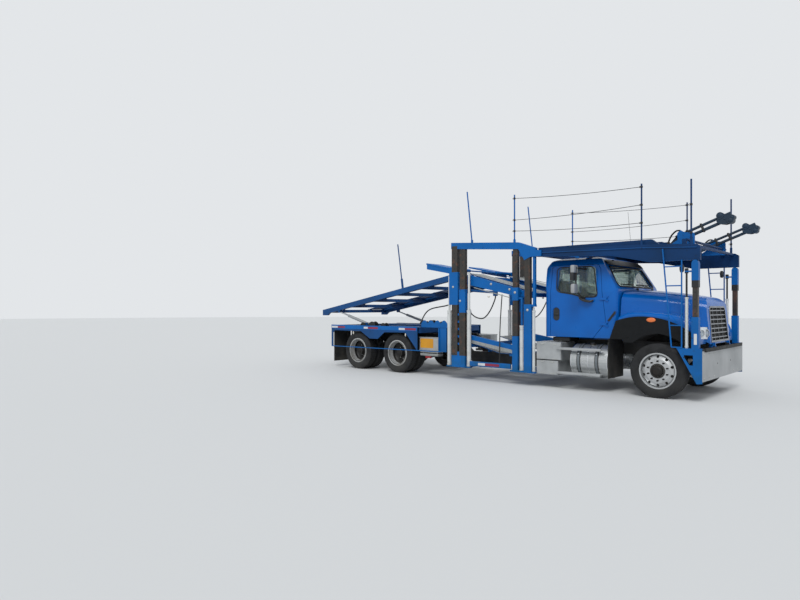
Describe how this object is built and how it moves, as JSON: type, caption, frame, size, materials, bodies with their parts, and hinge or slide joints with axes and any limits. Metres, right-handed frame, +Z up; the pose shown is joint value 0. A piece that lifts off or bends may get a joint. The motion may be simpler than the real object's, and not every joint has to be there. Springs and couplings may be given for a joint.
{
  "type": "car transporter truck",
  "caption": "Day-cab lorry that carries cars on hinged decks between lift towers, with an over-cab deck, loading arms, a dropped frame well and a low rear hitch.",
  "frame": {"origin": "on the ground below the middle of the truck", "axes": "+X forward, +Y to the truck's left, +Z up"},
  "size_m": [9.972, 2.9, 4.0466],
  "materials": {
    "cab_blue": "gloss",
    "tower_blue": "satin",
    "deck_white": "satin",
    "deck_blue": "satin",
    "frame_black": "satin",
    "cast_iron": "matte",
    "steel": "satin",
    "chrome": "polished",
    "alloy": "satin",
    "tyre": "matte",
    "glass": "clear",
    "lamp_glass": "clear",
    "cab_trim": "matte",
    "seat_fabric": "matte",
    "flap_rubber": "matte"
  },
  "bodies": {
    "chassis": {"chassis_frame": "frame_black", "engine_block": "cast_iron", "radiator": "frame_black", "front_axle": "cast_iron", "drive_axle_tubes": "cast_iron", "suspension": "frame_black", "cab_shell": "cab_blue", "cab_glass": "glass", "dashboard": "cab_trim", "seats": "seat_fabric", "bumper": "alloy", "front_posts": "tower_blue", "ladders": "tower_blue", "tower_frame": "tower_blue", "lift_cylinders": "steel", "lower_deck": "deck_blue", "rear_platform": "deck_blue", "mud_flaps": "flap_rubber", "side_guards": "tower_blue", "tool_boxes": "alloy", "fuel_tanks": "alloy", "cab_steps": "alloy", "hitch": "frame_black"},
    "hood": {"hood": "cab_blue", "flares": "cab_trim", "grille": "chrome", "headlights": "lamp_glass"},
    "door_left": {"door_left": "cab_blue", "door_glass_left": "glass", "mirrors_left": "cab_trim"},
    "door_right": {"door_right": "cab_blue", "door_glass_right": "glass", "mirrors_right": "cab_trim"},
    "knuckle_left": {"knuckle_left": "cast_iron"},
    "knuckle_right": {"knuckle_right": "cast_iron"},
    "tie_rod": {"tie_rod": "steel"},
    "front_wheel_left": {"front_tyre_left": "tyre", "front_rim_left": "alloy"},
    "front_wheel_right": {"front_tyre_right": "tyre", "front_rim_right": "alloy"},
    "head_deck": {"head_deck": "deck_blue"},
    "front_lift": {"front_lift": "tower_blue"},
    "loading_arms": {"loading_arms": "frame_black"},
    "middle_deck": {"middle_deck": "deck_blue"},
    "deck_carriages": {"deck_carriages": "tower_blue"},
    "rear_deck": {"rear_deck": "deck_blue"},
    "rear_lift_barrels": {"rear_lift_barrels": "deck_white"},
    "rear_lift_rods": {"rear_lift_rods": "steel"},
    "bridge_flaps": {"bridge_flaps": "tower_blue"},
    "drive_wheel_1_left": {"drive_tyres_1_left": "tyre", "drive_rims_1_left": "frame_black"},
    "drive_wheel_1_right": {"drive_tyres_1_right": "tyre", "drive_rims_1_right": "frame_black"},
    "drive_wheel_2_left": {"drive_tyres_2_left": "tyre", "drive_rims_2_left": "frame_black"},
    "drive_wheel_2_right": {"drive_tyres_2_right": "tyre", "drive_rims_2_right": "frame_black"}
  },
  "joints": [
    {"name": "hood_hinge", "type": "hinge", "parent": "chassis", "child": "hood", "pos_m": [4.56, 0, 0.89], "axis": [0, 1, 0], "range_deg": [0, 34]},
    {"name": "door_left_hinge", "type": "hinge", "parent": "chassis", "child": "door_left", "pos_m": [2.91, 1.062, 1.5], "axis": [0, 0, -1], "range_deg": [0, 65]},
    {"name": "door_right_hinge", "type": "hinge", "parent": "chassis", "child": "door_right", "pos_m": [2.91, -1.062, 1.5], "axis": [0, 0, 1], "range_deg": [0, 65]},
    {"name": "steer_left", "type": "hinge", "parent": "chassis", "child": "knuckle_left", "pos_m": [3.86, 0.93, 0.47], "axis": [0, 0, 1], "range_deg": [-35, 35]},
    {"name": "steer_right", "type": "hinge", "parent": "chassis", "child": "knuckle_right", "pos_m": [3.86, -0.93, 0.47], "axis": [0, 0, 1], "range_deg": [-35, 35]},
    {"name": "tie_rod_end", "type": "hinge", "parent": "knuckle_left", "child": "tie_rod", "pos_m": [3.69, 0.85, 0.37], "axis": [0, 0, 1], "range_deg": [-35, 35]},
    {"name": "front_wheel_left_spin", "type": "hinge", "parent": "knuckle_left", "child": "front_wheel_left", "pos_m": [3.86, 1.07, 0.47], "axis": [0, 1, 0], "continuous": true},
    {"name": "front_wheel_right_spin", "type": "hinge", "parent": "knuckle_right", "child": "front_wheel_right", "pos_m": [3.86, -1.07, 0.47], "axis": [0, 1, 0], "continuous": true},
    {"name": "head_deck_hinge", "type": "hinge", "parent": "chassis", "child": "head_deck", "pos_m": [1.64, 0, 2.62], "axis": [0, -1, 0], "range_deg": [0, 5]},
    {"name": "front_lift_slide", "type": "slide", "parent": "chassis", "child": "front_lift", "axis": [0, 0, 1], "range_m": [0, 0.2485]},
    {"name": "loading_arms_hinge", "type": "hinge", "parent": "head_deck", "child": "loading_arms", "pos_m": [3.94, 0, 2.64], "axis": [0, -1, 0], "range_deg": [0, 15]},
    {"name": "middle_deck_hinge", "type": "hinge", "parent": "chassis", "child": "middle_deck", "pos_m": [-0.2, 0, 2.18], "axis": [0, -1, 0], "range_deg": [-8, 13]},
    {"name": "deck_carriage_slide", "type": "slide", "parent": "chassis", "child": "deck_carriages", "axis": [0, 0, 1], "range_m": [-0.196, 0.317]},
    {"name": "rear_deck_hinge", "type": "hinge", "parent": "chassis", "child": "rear_deck", "pos_m": [-0.41, 0, 2.17], "axis": [0, 1, 0], "range_deg": [0, 9]},
    {"name": "rear_lift_pivot", "type": "hinge", "parent": "chassis", "child": "rear_lift_barrels", "pos_m": [-3.27, 0, 1.15], "axis": [0, 1, 0], "range_deg": [0, 24.4]},
    {"name": "rear_lift_stroke", "type": "slide", "parent": "rear_lift_barrels", "child": "rear_lift_rods", "axis": [-0.9622, 0, 0.2723], "range_m": [0, 0.336]},
    {"name": "bridge_flaps_hinge", "type": "hinge", "parent": "chassis", "child": "bridge_flaps", "pos_m": [-0.54, 0, 2.4], "axis": [0, 1, 0], "range_deg": [-8, 60]},
    {"name": "drive_wheel_1_left_spin", "type": "hinge", "parent": "chassis", "child": "drive_wheel_1_left", "pos_m": [-2.19, 0.94, 0.47], "axis": [0, 1, 0], "continuous": true},
    {"name": "drive_wheel_1_right_spin", "type": "hinge", "parent": "chassis", "child": "drive_wheel_1_right", "pos_m": [-2.19, -0.94, 0.47], "axis": [0, 1, 0], "continuous": true},
    {"name": "drive_wheel_2_left_spin", "type": "hinge", "parent": "chassis", "child": "drive_wheel_2_left", "pos_m": [-3.56, 0.94, 0.47], "axis": [0, 1, 0], "continuous": true},
    {"name": "drive_wheel_2_right_spin", "type": "hinge", "parent": "chassis", "child": "drive_wheel_2_right", "pos_m": [-3.56, -0.94, 0.47], "axis": [0, 1, 0], "continuous": true}
  ],
  "couplings": [
    {"joint": "steer_right", "follows": "steer_left", "ratio": 1},
    {"joint": "tie_rod_end", "follows": "steer_left", "ratio": -1},
    {"joint": "front_lift_slide", "follows": "head_deck_hinge", "m_per_rad": 2.843},
    {"joint": "deck_carriage_slide", "follows": "middle_deck_hinge", "m_per_rad": 1.388},
    {"joint": "rear_lift_pivot", "follows": "rear_deck_hinge", "ratio": 2.68},
    {"joint": "rear_lift_stroke", "follows": "rear_deck_hinge", "m_per_rad": 2.12}
  ]
}
